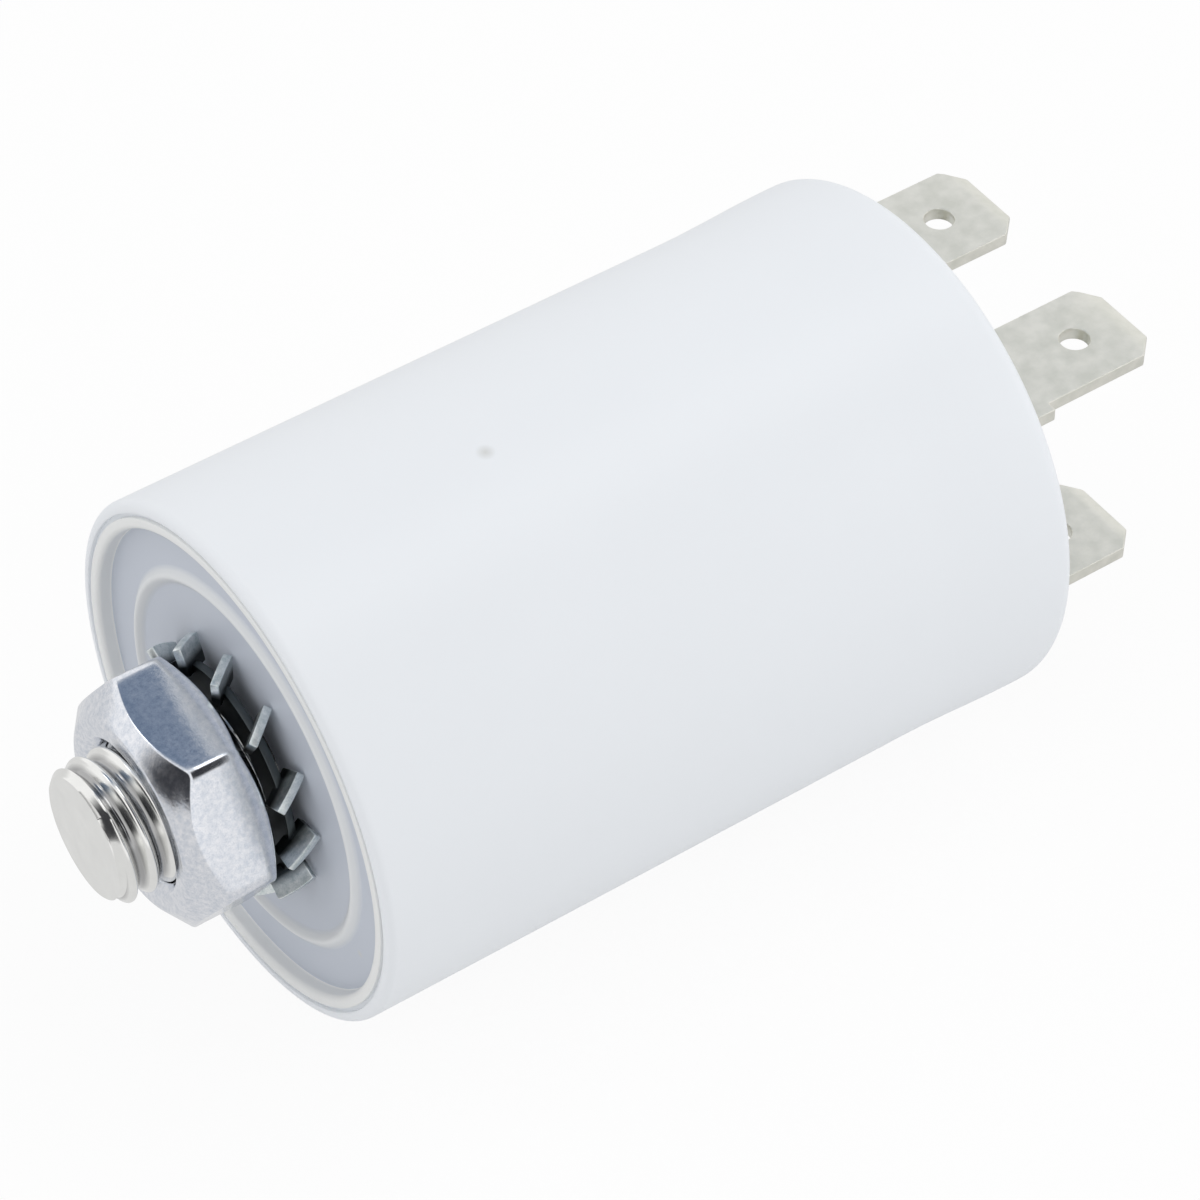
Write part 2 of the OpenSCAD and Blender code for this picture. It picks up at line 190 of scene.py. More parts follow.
class Finish:
    """The nodes of one material, or of the world."""

    def __init__(self, owner):
        owner.use_nodes = True
        self.owner = owner
        self.tree = owner.node_tree

    def put(self, socket, value):
        """Sets a socket to a plain value, or links it to a node's output."""
        if isinstance(value, Value):
            self.tree.links.new(value.socket, socket)
        elif hasattr(value, "__len__") and socket.type == "RGBA":
            socket.default_value = (*value, 1)
        else:
            socket.default_value = value

    def node(self, kind, settings=None, sockets=None, output=0):
        """Adds a node: its settings first, then the values or links of its sockets."""
        made = self.tree.nodes.new(kind)
        for name, value in (settings or {}).items():
            if name == "stops":
                self.set_stops(made.color_ramp, value)
            else:
                setattr(made, name, value)
        for name, value in (sockets or {}).items():
            self.put(made.inputs[name], value)
        return Value(self, made.outputs[output])

    def set_stops(self, ramp, stops):
        """Gives a colour ramp its stops, as (place, grey level) or (place, colour)."""
        while len(ramp.elements) < len(stops):
            ramp.elements.new(1)
        for element, (place, level) in zip(ramp.elements, stops):
            element.position = place
            shade = level if isinstance(level, tuple) else (level,) * 3
            element.color = (*shade, 1)

    def maths(self, operation, first, second):
        return self.node("ShaderNodeMath", {"operation": operation}, {0: first, 1: second})

    def mix(self, factor, first, second):
        """Blends two colours."""
        sockets = {0: factor, 6: first, 7: second}
        return self.node("ShaderNodeMix", {"data_type": "RGBA"}, sockets, 2)

    def place(self):
        """Place on the piece, in the model's own frame."""
        return self.node("ShaderNodeTexCoord", output="Object")

    def noise(self, grain, detail=2.0, stretch=(1, 1, 1)):
        """Cloudy pattern from 0 to 1 whose features are about one grain across."""
        spot = self.node("ShaderNodeMapping", {}, {"Vector": self.place(), "Scale": stretch})
        sockets = {"Vector": spot, "Scale": 1 / grain, "Detail": detail}
        return self.node("ShaderNodeTexNoise", {}, sockets)

    def ramp(self, value, *stops):
        """Shades between the stops, each given as (place, grey level) or (place, colour)."""
        return self.node("ShaderNodeValToRGB", {"stops": stops}, {"Fac": value})

    def bump(self, height, distance, strength=1.0, base=None):
        sockets = {"Height": height, "Distance": distance, "Strength": strength}
        if base is not None:
            sockets["Normal"] = base
        return self.node("ShaderNodeBump", {}, sockets)

    def near(self, point, radius):
        """Soft spot: 1 at a point and 0 from one radius on."""
        gap = self.node("ShaderNodeVectorMath", {"operation": "DISTANCE"}, {0: self.place(), 1: point}, 1)
        clamped = {"operation": "SUBTRACT", "use_clamp": True}
        return self.node("ShaderNodeMath", clamped, {0: 1, 1: gap / radius})

    def axis_distance(self):
        """Distance from the case's axis."""
        across = {0: self.place(), 1: (0, 1, 1)}
        flat = self.node("ShaderNodeVectorMath", {"operation": "MULTIPLY"}, across)
        return self.node("ShaderNodeVectorMath", {"operation": "LENGTH"}, {0: flat}, 1)

    def station(self):
        """Place along the case's axis."""
        return self.node("ShaderNodeSeparateXYZ", {}, {0: self.place()}, 0)


def surface(name, settings):
    """A new material with the constants of its shader, and the sheet that its patterns are drawn on."""
    finish = Finish(bpy.data.materials.new(name))
    finish.shader = finish.tree.nodes["Principled BSDF"]
    for socket, value in settings.items():
        finish.put(finish.shader.inputs[socket], value)
    return finish


def finished(finish, links):
    """Links what varies over the surface, and returns the material."""
    for socket, value in links.items():
        finish.put(finish.shader.inputs[socket], value)
    return finish.owner


# ---------------------------------------------------------------- finishes

WHITE = (0.86, 0.888, 0.925)
WARM_WHITE = (0.84, 0.85, 0.845)
FLOOR_GREY = (0.57, 0.61, 0.685)
SPECK_GREY = (0.62, 0.63, 0.62)
SPECK_STRENGTH = 0.8
CLOUD_SHADE = 0.985
RING_TINT = 0.35
PLASTIC_INDEX = 1.49
NUT_ZINC = ((0.64, 0.68, 0.75), (0.86, 0.87, 0.905))
WASHER_ZINC = ((0.56, 0.63, 0.64), (0.90, 0.93, 0.93))
# Painted shade of the washer's ring under the nut
WASHER_PAINTED_SHADE = (0.07, 0.08, 0.085)
SHADE_REACH = 0.5 * MM
STEEL = ((0.80, 0.80, 0.785), (0.92, 0.92, 0.90))
# Painted shade for the roots of the stud's thread
ROOT_PAINTED_SHADE = (0.42, 0.42, 0.42)
FILM_RINGS = 40
TIN = ((0.70, 0.70, 0.635), (0.83, 0.82, 0.76))


def on_case(station, angle):
    """A point on the case's side, with the angle from +Y towards +Z in degrees."""
    turn = math.radians(angle)
    return (station * MM, CASE_R * math.cos(turn), CASE_R * math.sin(turn))


SPECKS = [(on_case(15.5, 94.3), 0.55 * MM), ((0.9 * MM, -10.5 * MM, -5.6 * MM), 0.3 * MM)]


def case_plastic():
    """White moulded plastic: satin, a faint moulding grain, and a grey across the base that deepens into
    its recess and stays lighter on the raised ring.
    """
    glow = {"Subsurface Weight": 0.05, "Subsurface Radius": (1, 1, 1), "Subsurface Scale": 0.6 * MM}
    finish = surface("case_plastic", {"IOR": PLASTIC_INDEX, **glow})
    cloud = finish.noise(9 * MM, 3)
    white = finish.mix(cloud, tuple(CLOUD_SHADE * part for part in WHITE), WHITE)
    lip = (finish.station() < BASE_DEPTH) * (finish.axis_distance() < GROOVE_R - GROOVE_HALF)
    white = finish.mix(lip, white, WARM_WHITE)
    # The base turns grey, more so with depth into the recess and the groove, and less on the raised ring.
    base = (finish.station() < BASE_DEPTH) * (finish.axis_distance() < DISC_R)
    depth = finish.ramp(finish.station() / MM, (0.1, 0), (0.8, 1))
    off_ring = finish.maths("ABSOLUTE", finish.axis_distance() - RING_R, 0)
    ring = finish.ramp(off_ring / RING_HALF, (0.55, 0), (1.0, 1))
    colour = finish.mix(base * depth * (RING_TINT + (1 - RING_TINT) * ring), white, FLOOR_GREY)
    for point, radius in SPECKS:
        colour = finish.mix(finish.near(point, radius) * SPECK_STRENGTH, colour, SPECK_GREY)
    peel = finish.noise(1.6 * MM, 1)
    grain = finish.noise(0.12 * MM, 2)
    relief = finish.bump(grain, 0.004 * MM, 0.5, finish.bump(peel, 0.02 * MM, 0.25))
    rough = 0.38 + 0.08 * cloud + 0.05 * grain
    return finished(finish, {"Base Color": colour, "Roughness": rough, "Normal": relief})


def lid_plastic():
    """The same white plastic, in the lid."""
    finish = surface("lid_plastic", {"IOR": PLASTIC_INDEX})
    cloud = finish.noise(6 * MM, 3)
    grain = finish.noise(0.15 * MM, 2)
    white = finish.mix(cloud, (0.82, 0.84, 0.86), (0.85, 0.87, 0.89))
    relief = finish.bump(grain, 0.006 * MM, 0.6)
    return finished(finish, {"Base Color": white, "Roughness": 0.4 + 0.1 * grain, "Normal": relief})


def zinc_plate(name, shades, roughness, mottle, shade_from=None):
    """Bright zinc plate with a bluish passivated bloom in soft patches, and, where a shade radius is given,
    painted shade inwards of it.
    """
    finish = surface(name, {"Metallic": 1.0})
    patch = finish.noise(mottle, 2)
    grain = finish.noise(0.09 * MM, 3)
    colour = finish.mix(finish.ramp(patch * 0.6 + grain * 0.4, (0.35, 0), (0.65, 1)), *shades)
    # Painted shade: inwards of shade_from the colour falls to a near black, for the nut's shadow on the
    # washer's ring.
    if shade_from is not None:
        depth = (finish.axis_distance() - shade_from) / SHADE_REACH
        colour = finish.mix(finish.ramp(depth, (0, 1), (1, 0)), colour, WASHER_PAINTED_SHADE)
    dents = finish.noise(0.35 * MM, 2)
    relief = finish.bump(grain, 0.0015 * MM, 0.5, finish.bump(dents, 0.006 * MM, 0.6))
    rough = roughness + 0.06 * patch + 0.04 * grain
    return finished(finish, {"Base Color": colour, "Roughness": rough, "Normal": relief})


def bright_steel():
    """Rolled thread: bright, with fine lines that run round it, and painted shade down in the thread's
    roots.
    """
    finish = surface("bright_steel", {"Metallic": 1.0})
    lines = finish.noise(0.06 * MM, 2, (1, 0.15, 0.15))
    cloud = finish.noise(1.2 * MM, 2)
    bright = finish.mix(cloud, *STEEL)
    # Painted shade: the colour darkens towards the thread's roots, for the shade down in its grooves.
    height = (finish.axis_distance() - (STUD_R - THREAD_DEPTH)) / THREAD_DEPTH
    root = finish.ramp(height, (0.1, 1), (0.6, 0))
    thread = finish.station() > STUD_TIP + TIP_FACE
    colour = finish.mix(root * thread, bright, ROOT_PAINTED_SHADE)
    relief = finish.bump(lines, 0.003 * MM, 0.5)
    return finished(finish, {"Base Color": colour, "Roughness": 0.10 + 0.08 * lines, "Normal": relief})


def tinned_brass(name="tinned_brass"):
    """Matt tin plate over stamped brass: fine scratches along the strip and a faint warm tint."""
    finish = surface(name, {"Metallic": 1.0})
    scratches = finish.noise(0.08 * MM, 3, (0.08, 1, 1))
    cloud = finish.ramp(finish.noise(0.9 * MM, 4), (0.3, 0), (0.7, 1))
    colour = finish.mix(cloud, *TIN)
    relief = finish.bump(scratches, 0.004 * MM, 0.6)
    rough = 0.30 + 0.14 * cloud + 0.08 * scratches
    return finished(finish, {"Base Color": colour, "Roughness": rough, "Normal": relief})


def plain_finish(name, dark, pale, roughness, metallic, grain):
    """Finish of a sealed inner piece: two shades, a grain and a little relief."""
    finish = surface(name, {"Metallic": metallic})
    pattern = finish.noise(grain, 3)
    colour = finish.mix(pattern, dark, pale)
    relief = finish.bump(pattern, 0.1 * grain, 0.4)
    rough = roughness + 0.1 * pattern
    return finished(finish, {"Base Color": colour, "Roughness": rough, "Normal": relief})


def wound_film():
    """Edges of many turns of film, as fine rings round the roll."""
    finish = surface("metallised_film", {"Metallic": 0.6})
    phase = finish.axis_distance() * (FILM_RINGS / MM)
    turns = finish.node("ShaderNodeMath", {"operation": "SINE"}, {0: phase})
    colour = finish.mix(turns * 0.5 + 0.5, (0.52, 0.53, 0.55), (0.74, 0.75, 0.76))
    return finished(finish, {"Base Color": colour, "Roughness": 0.3 + 0.1 * turns})


# ---------------------------------------------------------------- shaping

def arc(x, r, radius, start, stop, steps=6):
    """Points of an arc about (x, r), from one angle to another in degrees."""
    points = []
    for i in range(steps + 1):
        turn = math.radians(start + (stop - start) * i / steps)
        points.append((x + radius * math.cos(turn), r + radius * math.sin(turn)))
    return points


def outline(bm, points, closed=False):
    """Draws a chain of edges through (station, radius) points in the plane of X and Y."""
    corners = [bm.verts.new((x, r, 0)) for x, r in points]
    ends = corners[1:] + corners[:1] if closed else corners[1:]
    return corners, [bm.edges.new(pair) for pair in zip(corners, ends)]


def turned(points, steps, closed=False):
    """Turns a chain of (station, radius) points about the X axis into a closed shape."""
    bm = bmesh.new()
    corners, edges = outline(bm, points, closed)
    bmesh.ops.spin(
        bm, geom=corners + edges, cent=(0, 0, 0), axis=(1, 0, 0), angle=2 * math.pi, steps=steps,
        use_merge=True,
    )
    tidy(bm)
    return bm


def tidy(bm):
    """Merges doubles and points every face outwards."""
    bmesh.ops.remove_doubles(bm, verts=bm.verts, dist=MERGE)
    bmesh.ops.dissolve_degenerate(bm, edges=bm.edges, dist=MERGE)
    bmesh.ops.recalc_face_normals(bm, faces=bm.faces)


def sharp_edges(bm, angle):
    """Edges whose two faces meet at more than an angle in degrees."""
    limit = math.radians(angle)
    paired = [edge for edge in bm.edges if len(edge.link_faces) == 2]
    return [edge for edge in paired if edge.calc_face_angle() > limit]


def soften(bm, angle, width, segments=2):
    """Rounds the edges sharper than an angle."""
    bmesh.ops.bevel(
        bm, geom=sharp_edges(bm, angle), offset=width, offset_type="OFFSET", affect="EDGES",
        segments=segments, profile=0.5, material=-1, clamp_overlap=True,
    )


def make_piece(name, bm, material, node, smooth_angle=35):
    """Makes an object of a finished shape, which stands for its node."""
    mesh = bpy.data.meshes.new(name)
    bm.to_mesh(mesh)
    bm.free()
    mesh.shade_smooth()
    mesh.set_sharp_from_angle(angle=math.radians(smooth_angle))
    piece = bpy.data.objects.new(name, mesh)
    bpy.context.scene.collection.objects.link(piece)
    mesh.materials.append(material)
    weigh = piece.modifiers.new("even_normals", "WEIGHTED_NORMAL")
    weigh.keep_sharp = True
    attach(piece, BODY)
    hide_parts(node)
    return piece


def copied_node(node):
    """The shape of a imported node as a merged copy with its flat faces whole."""
    bm = bmesh.new()
    bm.from_mesh(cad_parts[node].data)
    bmesh.ops.remove_doubles(bm, verts=bm.verts, dist=0.0005 * MM)
    bmesh.ops.dissolve_limit(bm, angle_limit=math.radians(1), verts=bm.verts, edges=bm.edges)
    return bm


# ---------------------------------------------------------------- case

def case_base():
    """Base from the stud's hole outwards: floor, raised ring, inner lip, groove and outer edge."""
    foot = FOOT_ROUND
    lip = LIP_ROUND
    brim = BRIM_ROUND
    points = [(BASE_FLOOR, STUD_HOLE_R)]
    for i in range(RING_POINTS + 1):
        share = 2 * i / RING_POINTS - 1
        rise = RING_HEIGHT * (1 + math.cos(math.pi * share)) / 2
        points.append((BASE_FLOOR - rise, RING_R + share * RING_HALF))
    points += arc(BASE_FLOOR - foot, RIM_INNER_R - foot, foot, 0, 90, 4)
    points += arc(lip, RIM_INNER_R + lip, lip, 270, 180, 8)
    points += arc(brim, GROOVE_R - GROOVE_HALF - brim, brim, 180, 90, 3)
    points += [(GROOVE_DEPTH, GROOVE_R - GROOVE_HALF), (GROOVE_DEPTH, GROOVE_R + GROOVE_HALF)]
    points += arc(brim, GROOVE_R + GROOVE_HALF + brim, brim, 270, 180, 3)
    points += arc(BASE_ROUND, CASE_R - BASE_ROUND, BASE_ROUND, 180, 90, 10)
    return points


def case_wall():
    """Outer wall with its soft swell, and the round edge of the mouth."""
    start = BASE_ROUND
    swell_end = CASE_LENGTH - MOUTH_ROUND
    swell_start = swell_end - FLARE_LENGTH
    bands = 8
    swell_steps = 16
    points = [(start + (swell_start - start) * i / bands, CASE_R) for i in range(1, bands)]
    for i in range(swell_steps + 1):
        share = i / swell_steps
        rise = MOUTH_FLARE * (1 - math.cos(math.pi * share)) / 2
        points.append((swell_start + FLARE_LENGTH * share, CASE_R + rise))
    points += arc(swell_end, MOUTH_R - MOUTH_ROUND, MOUTH_ROUND, 90, 0, 12)[1:]
    return points


def case_inside():
    """From the mouth's lip down the bore, round the boss and into the pocket of the stud's head."""
    return [
        (CASE_LENGTH, LID_SEAT_R + MOUTH_CHAMFER),
        (CASE_LENGTH - MOUTH_CHAMFER, LID_SEAT_R),
        (LID_UNDER, LID_SEAT_R),
        (LID_UNDER, BORE_R),
        (FLOOR_INNER, BORE_R),
        (FLOOR_INNER, BOSS_R),
        (BOSS_TOP, BOSS_R),
        (BOSS_TOP, 0),
    ]


def make_case():
    """One cup: pocket of the stud's head, base, wall, mouth and inside."""
    pocket = [
        (HEAD_END, 0), (HEAD_END, POCKET_R), (FLOOR_INNER, POCKET_R), (FLOOR_INNER, STUD_HOLE_R),
    ]
    bm = turned(pocket + case_base() + case_wall() + case_inside(), CASE_STEPS)
    make_piece("case_moulding", bm, case_plastic(), "case", 50)


# ---------------------------------------------------------------- stud

def thread_turns(start, count):
    """Section of a rolled thread: round roots and crests joined by straight flanks."""
    points = []
    for i in range(count):
        root = start + i * PITCH
        root_line = arc(root, STUD_R - THREAD_DEPTH + ROOT_ROUND, ROOT_ROUND, 210, 330, 5)
        crest_line = arc(root + PITCH / 2, STUD_R - CREST_ROUND, CREST_ROUND, 150, 30, 6)
        points += root_line + crest_line
    points.append((start + count * PITCH + points[0][0] - start, points[0][1]))
    return points


def threaded_rod(low, high):
    """Thread from one station to another, coned at its low end."""
    count = math.ceil((high - low) / PITCH) + 3
    bm = bmesh.new()
    corners, edges = outline(bm, thread_turns(low - 1.5 * PITCH, count))
    bmesh.ops.spin(
        bm, geom=corners + edges, cent=(0, 0, 0), axis=(1, 0, 0), dvec=(PITCH / THREAD_STEPS, 0, 0),
        angle=2 * math.pi, steps=THREAD_STEPS,
    )
    bmesh.ops.remove_doubles(bm, verts=bm.verts, dist=0.002 * MM)
    for vert in bm.verts:
        radius = math.hypot(vert.co.y, vert.co.z)
        limit = STUD_R - TIP_CONE + max(vert.co.x - low, 0)
        if radius > limit:
            vert.co.y *= limit / radius
            vert.co.z *= limit / radius
    for station, way in ((low, -1), (high, 1)):
        everything = bm.verts[:] + bm.edges[:] + bm.faces[:]
        bmesh.ops.bisect_plane(
            bm, geom=everything, dist=MERGE, plane_co=(station, 0, 0), plane_no=(way, 0, 0),
            clear_outer=True,
        )
    rims = [edge for edge in bm.edges if edge.is_boundary]
    bmesh.ops.holes_fill(bm, edges=rims, sides=0)
    tidy(bm)
    return bm


def add_prism(bm, low, high, corner_r, turn):
    """Adds a six-sided prism along X."""
    place = (
        Matrix.Translation(((low + high) / 2, 0, 0))
        @ Matrix.Rotation(turn, 4, "X")
        @ Matrix(((0, 0, 1, 0), (1, 0, 0, 0), (0, 1, 0, 0), (0, 0, 0, 1)))
    )
    bmesh.ops.create_cone(
        bm, cap_ends=True, segments=6, radius1=corner_r, radius2=corner_r, depth=high - low, matrix=place
    )


def make_stud():
    """Threaded stud on its six-sided head."""
    bm = threaded_rod(STUD_TIP, HEAD_START + HEAD_OVERLAP)
    add_prism(bm, HEAD_START, HEAD_END, HEAD_WIDTH / 2 / math.cos(math.pi / 6), HEAD_TURN)
    make_piece("threaded_stud", bm, bright_steel(), "mounting_stud", 60)


# ---------------------------------------------------------------- nut

def front_cone(radius):
    """Station of the nut's front cone at a radius."""
    return NUT_FRONT + (radius - NUT_FACE_R) * FRONT_SLOPE


def rear_cone(radius):
    """Station of the nut's rear cone at a radius."""
    return NUT_REAR - (radius - NUT_SEAT_R) * REAR_SLOPE


def nut_section():
    """Half of the nut's section before its sides are cut flat, from the bore to the back."""
    points = [(NUT_REAR - NUT_SINK, NUT_BORE_R), (NUT_FRONT + NUT_SINK, NUT_BORE_R)]
    points.append((NUT_FRONT, NUT_BORE_R + NUT_SINK))
    for i in range(CONE_RINGS + 1):
        radius = NUT_FACE_R + (NUT_CORNER_R - NUT_FACE_R) * i / CONE_RINGS
        points.append((front_cone(radius), radius))
    start = front_cone(NUT_CORNER_R)
    end = rear_cone(NUT_CORNER_R)
    points += [(start + (end - start) * i / SIDE_RINGS, NUT_CORNER_R) for i in range(1, SIDE_RINGS)]
    for i in range(CONE_RINGS + 1):
        radius = NUT_CORNER_R - (NUT_CORNER_R - NUT_SEAT_R) * i / CONE_RINGS
        points.append((rear_cone(radius), radius))
    points.append((NUT_REAR, NUT_BORE_R + NUT_SINK))
    return points


def six_sided(angle):
    """Radius of a hexagon with rounded corners, at an angle from one of its corners."""
    off_corner = abs((angle + math.pi / 6) % (math.pi / 3) - math.pi / 6)
    core = NUT_HALF_WIDTH - NUT_CORNER_ROUND
    if off_corner > math.pi / 6 - math.atan(core * math.tan(math.pi / 6) / NUT_HALF_WIDTH):
        return NUT_HALF_WIDTH / math.cos(math.pi / 6 - off_corner)
    centre = core / math.cos(math.pi / 6)
    across = centre * math.sin(off_corner)
    return centre * math.cos(off_corner) + math.sqrt(NUT_CORNER_ROUND**2 - across**2)


def cut_flats(bm):
    """Draws the turned nut in to six flats, and its two cones with them."""
    start = front_cone(NUT_CORNER_R)
    end = rear_cone(NUT_CORNER_R)
    for vert in bm.verts:
        radius = math.hypot(vert.co.y, vert.co.z)
        if radius <= NUT_FACE_R + MERGE:
            continue
        limit = six_sided(math.atan2(vert.co.z, vert.co.y) - NUT_TURN)
        share = (vert.co.x - start) / (end - start)
        if share < 0:
            part = (radius - NUT_FACE_R) / (NUT_CORNER_R - NUT_FACE_R)
            new_radius = NUT_FACE_R + part * (limit - NUT_FACE_R)
            station = front_cone(new_radius)
        elif share > 1:
            part = (radius - NUT_SEAT_R) / (NUT_CORNER_R - NUT_SEAT_R)
            new_radius = NUT_SEAT_R + part * (limit - NUT_SEAT_R)
            station = rear_cone(new_radius)
        else:
            new_radius = limit
            station = front_cone(limit) + share * (rear_cone(limit) - front_cone(limit))
        vert.co = (station, vert.co.y * new_radius / radius, vert.co.z * new_radius / radius)


def make_nut():
    bm = turned(nut_section(), NUT_STEPS, closed=True)
    bmesh.ops.rotate(bm, verts=bm.verts, cent=(0, 0, 0), matrix=Matrix.Rotation(NUT_TURN, 3, "X"))
    cut_flats(bm)
    soften(bm, 24, NUT_EDGE, 3)
    material = zinc_plate("zinc_plate", NUT_ZINC, 0.1, 0.3 * MM)
    make_piece("nut", bm, material, "hex_nut", 40)


# ---------------------------------------------------------------- tooth washer

def add_tooth(bm, turn):
    """Adds one flat tooth of the washer, turned about its own length."""
    spread = TOOTH_TIP / 2 / WASHER_R
    tip = []
    for i in range(TIP_POINTS + 1):
        way = spread * (2 * i / TIP_POINTS - 1)
        tip.append((WASHER_R * math.cos(way), WASHER_R * math.sin(way)))
    root = WASHER_RING_R - WASHER_SHEET
    flat = [(root, -TOOTH_ROOT / 2), *tip, (root, TOOTH_ROOT / 2)]
    place = Matrix.Rotation(turn, 4, "X") @ Matrix.Rotation(TOOTH_TWIST, 4, "Y")
    corners = [
        bm.verts.new(place @ Vector((side * WASHER_SHEET / 2, along, across)))
        for side in (-1, 1) for along, across in flat
    ]
    bmesh.ops.convex_hull(bm, input=corners)


def make_washer():
    """Spring washer cut from sheet: a flat ring with twisted teeth round its outside."""
    middle = (WASHER_LOW + WASHER_HIGH) / 2
    half = WASHER_SHEET / 2
    section = [
        (-half, WASHER_BORE_R), (-half, WASHER_RING_R), (half, WASHER_RING_R), (half, WASHER_BORE_R),
    ]
    bm = turned(section, WASHER_STEPS, closed=True)
    for i in range(TEETH):
        add_tooth(bm, 2 * math.pi * i / TEETH)
    bmesh.ops.dissolve_limit(bm, angle_limit=math.radians(1), verts=bm.verts, edges=bm.edges)
    soften(bm, 40, TOOTH_EDGE, 2)
    bmesh.ops.recalc_face_normals(bm, faces=bm.faces)
    bmesh.ops.translate(bm, verts=bm.verts, vec=(middle, 0, 0))
    # The ring inwards of WASHER_SHADE_R gets painted shade, for the shadow under the nut.
    material = zinc_plate("washer_zinc", WASHER_ZINC, 0.3, 0.4 * MM, WASHER_SHADE_R)
    make_piece("tooth_washer", bm, material, "tooth_lock_washer", 40)


# ---------------------------------------------------------------- lid, terminals and rivets

def make_lid():
    bm = copied_node("terminal_lid")
    soften(bm, EDGE_ANGLE, LID_EDGE, 2)
    make_piece("lid", bm, lid_plastic(), "terminal_lid")


def make_terminal(side, material):
    bm = copied_node("terminal_" + side)
    soften(bm, EDGE_ANGLE, TAB_EDGE, 2)
    make_piece("twin_tab_" + side, bm, material, "terminal_" + side)


def make_rivet(side, material):
    """Rivet with a domed outer head. Gives back how far to the side its middle sits."""
    low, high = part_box("rivet_" + side)
    middle_y = (low.y + high.y) / 2
    bm = copied_node("rivet_" + side)
    soften(bm, EDGE_ANGLE, RIVET_EDGE, 4)
    make_piece("rivet_head_" + side, bm, material, "rivet_" + side)
    return middle_y


# ---------------------------------------------------------------- sealed inner pieces

def finish_inner_pieces():
    """Gives each inner node its own finish."""
    wire = plain_finish("tinned_wire", (0.66, 0.66, 0.65), (0.80, 0.80, 0.79), 0.25, 1.0, 0.2 * MM)
    solder = plain_finish("solder", (0.60, 0.61, 0.62), (0.76, 0.77, 0.78), 0.2, 1.0, 0.5 * MM)
    spray = plain_finish("sprayed_zinc", (0.36, 0.37, 0.38), (0.62, 0.63, 0.64), 0.7, 0.5, 0.15 * MM)
    brass = plain_finish("inner_brass", (0.62, 0.50, 0.26), (0.80, 0.70, 0.44), 0.3, 1.0, 0.3 * MM)
    core = plain_finish("core_plastic", (0.80, 0.79, 0.74), (0.90, 0.89, 0.85), 0.5, 0.0, 0.8 * MM)
    sleeve = plain_finish("sleeve_plastic", (0.12, 0.12, 0.13), (0.20, 0.20, 0.21), 0.5, 0.0, 0.3 * MM)
    finishes = {
        "film_winding": wound_film(),
        "winding_core": core,
        "winding_wrap": plain_finish("wrap_film", (0.78, 0.64, 0.22), (0.92, 0.78, 0.36), 0.2, 0.0, 3 * MM),
        "end_spray_lower": spray,
        "end_spray_upper": spray,
        "lead_lower": wire,
        "lead_upper": wire,
        "lead_sleeve": sleeve,
        "solder_tag_left": brass,
        "solder_tag_right": brass,
        "solder_lower": solder,
        "solder_upper": solder,
        "solder_left": solder,
        "solder_right": solder,
        "potting_resin": plain_finish("resin", (0.60, 0.52, 0.34), (0.76, 0.68, 0.50), 0.25, 0.0, 2 * MM),
    }
    for node, material in finishes.items():
        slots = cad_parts[node].data.materials
        slots.clear()
        slots.append(material)


# ---------------------------------------------------------------- floor, light and camera

FLOOR_SIZE = 3.0
FAR_FLOOR = 0.4
FLOOR_SHOWN = 0.92
# Painted shade: glow of the floor near the object, as mirrors see it
NEAR_SHADE_LEVEL = 0.76
PAPER = ((0.88,) * 3, (0.9,) * 3)
AMBIENT = 0.60
SKY_BLUE = (0.18, 0.235, 0.325)
STUD_END_LEAN = 1.5
AMBIENT_RISE = (0.05, 0.10, 0.40)
DARK_GAPS = [((-0.97, -0.09, 0.23), 0.86, 0.97), ((0.42, -0.60, 0.68), 0.76, 0.90)]
GAP_DARK = (0.04, 0.04, 0.045)
PURE_WHITE = (1, 1, 1)
LAMPS = [
    ("overhead", (0.40, 0.03, 0.82), 0.32, 0.5),
    ("mouth_side", (0.26, -0.20, 0.14), 0.2, 0.19),
    ("behind", (-0.42, 0.42, 0.72), 0.2, 0.3),
]


def make_floor():
    """White floor that keeps a faint shadow; the glow that mirrors see on it is dimmed near the object as
    painted shade.
    """
    bm = bmesh.new()
    bmesh.ops.create_grid(bm, x_segments=1, y_segments=1, size=FLOOR_SIZE)
    bmesh.ops.translate(bm, verts=bm.verts, vec=(0, 0, FLOOR_Z))
    mesh = bpy.data.meshes.new("floor")
    bm.to_mesh(mesh)
    bm.free()
    floor = bpy.data.objects.new("floor", mesh)
    bpy.context.scene.collection.objects.link(floor)
    finish = Finish(bpy.data.materials.new("floor"))
    finish.tree.nodes.clear()
    grit = finish.noise(2 * MM, 2)
    paper = finish.node("ShaderNodeBsdfDiffuse", {}, {"Color": finish.mix(grit, *PAPER)})
    camera = finish.node("ShaderNodeLightPath", output="Is Camera Ray")
    # Painted shade: for glossy rays the floor's glow is dimmed near the object, standing in for the shade
    # there that the glow leaves out.
    far = finish.ramp(finish.axis_distance() / FAR_FLOOR, (0.2, 0), (1, 1))
    level = camera + (1 - camera) * (NEAR_SHADE_LEVEL + (1 - NEAR_SHADE_LEVEL) * far)
    glow = finish.node("ShaderNodeEmission", {}, {"Color": PURE_WHITE, "Strength": level})
    seen = seen_directly(finish) * FLOOR_SHOWN
    shown = finish.node("ShaderNodeMixShader", {}, {0: seen, 1: paper, 2: glow})
    put_out(finish, "ShaderNodeOutputMaterial", shown)
    mesh.materials.append(finish.owner)


def seen_directly(finish):
    """1 for what the camera, a mirror or a pane sees, and 0 for the light that falls on things."""
    total = None
    for output in ("Is Camera Ray", "Is Glossy Ray", "Is Transmission Ray"):
        part = finish.node("ShaderNodeLightPath", output=output)
        total = part if total is None else finish.maths("MAXIMUM", total, part)
    return total


def put_out(finish, kind, shader):
    """Links the last shader to the output."""
    end = finish.tree.nodes.new(kind)
    finish.put(end.inputs["Surface"], shader)


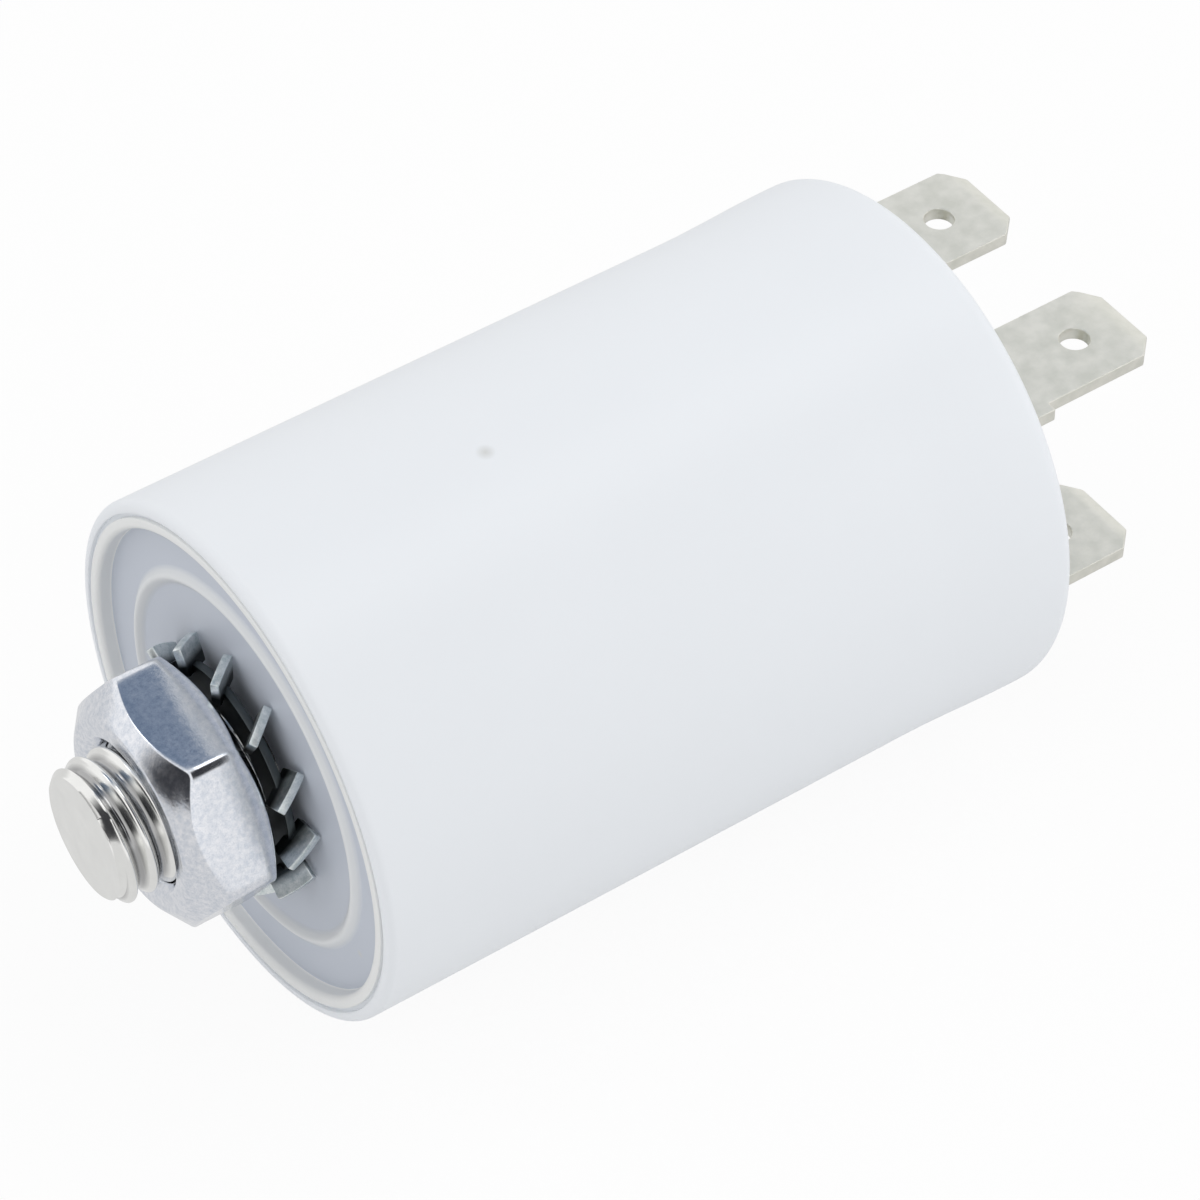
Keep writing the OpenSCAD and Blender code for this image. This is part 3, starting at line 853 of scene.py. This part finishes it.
def make_world():
    """Even studio light: white round the horizon, under a darker ceiling that metal picks up."""
    world = bpy.data.worlds.new("studio")
    bpy.context.scene.world = world
    finish = Finish(world)
    finish.tree.nodes.clear()
    way = finish.node("ShaderNodeTexCoord", output="Generated")
    height = finish.node("ShaderNodeSeparateXYZ", {}, {0: way}, 2)
    side = finish.node("ShaderNodeSeparateXYZ", {}, {0: way}, 1)
    high = finish.ramp(height, (0.68, 0), (0.80, 1))
    back = finish.ramp(side, (0.05, 0), (0.38, 1))
    ceiling = finish.mix(high * back, PURE_WHITE, SKY_BLUE)
    seen = seen_directly(finish)
    along = finish.node("ShaderNodeSeparateXYZ", {}, {0: way}, 0)
    lean = finish.ramp(along * -1, (0, 1), (1, STUD_END_LEAN))
    dot = {"operation": "DOT_PRODUCT"}
    rise = finish.node("ShaderNodeVectorMath", dot, {0: way, 1: AMBIENT_RISE}, 1)
    strength = seen + (1 - seen) * AMBIENT * (lean + rise)
    mirrored = finish.node("ShaderNodeLightPath", output="Is Glossy Ray")
    for heading, dark_from, dark_at in DARK_GAPS:
        towards = finish.node("ShaderNodeVectorMath", dot, {0: way, 1: heading}, 1)
        gap = finish.ramp(towards, (dark_from, 0), (dark_at, 1))
        ceiling = finish.mix(mirrored * gap, ceiling, GAP_DARK)
    colour = finish.mix(seen, PURE_WHITE, ceiling)
    glow = finish.node("ShaderNodeBackground", {}, {"Color": colour, "Strength": strength})
    put_out(finish, "ShaderNodeOutputWorld", glow)


def add_softbox(name, place, target, size, power):
    """Square soft light aimed at a point."""
    light = bpy.data.lights.new(name, "AREA")
    light.shape = "SQUARE"
    light.size = size
    light.energy = power
    lamp = bpy.data.objects.new(name, light)
    bpy.context.scene.collection.objects.link(lamp)
    lamp.location = place
    lamp.rotation_euler = (Vector(target) - Vector(place)).to_track_quat("-Z", "Y").to_euler()


def make_camera():
    """Camera above the stud's end, looking down along the case."""
    lens = 150
    turn = math.radians(35.05)
    tilt = math.radians(45.76)
    distance = 260.2 * MM
    across = -19.18 * MM
    up_shift = -8.607 * MM
    right = Vector((math.cos(turn), -math.sin(turn), 0))
    ahead = Vector((math.sin(turn) * math.cos(tilt), math.cos(turn) * math.cos(tilt), -math.sin(tilt)))
    up = right.cross(ahead)
    data = bpy.data.cameras.new("camera")
    data.lens = lens
    data.sensor_width = 36
    data.clip_start = 0.01
    camera = bpy.data.objects.new("camera", data)
    bpy.context.scene.collection.objects.link(camera)
    spot = -across * right - up_shift * up - distance * ahead
    basis = Matrix((right, up, -ahead)).transposed().to_4x4()
    camera.matrix_world = Matrix.Translation(spot) @ basis
    bpy.context.scene.camera = camera


# ---------------------------------------------------------------- the whole

make_case()
make_stud()
make_nut()
make_washer()
make_lid()
tin = tinned_brass()
rivet_tin = tinned_brass("rivet_metal")
for side in ("left", "right"):
    make_terminal(side, tin)
    make_rivet(side, rivet_tin)
finish_inner_pieces()

make_floor()
make_world()
case_middle = (CASE_LENGTH / 2, 0, 0)
for lamp_name, lamp_place, lamp_size, lamp_power in LAMPS:
    add_softbox(lamp_name, lamp_place, case_middle, lamp_size, lamp_power)
make_camera()

bpy.context.scene.view_settings.view_transform = "Standard"
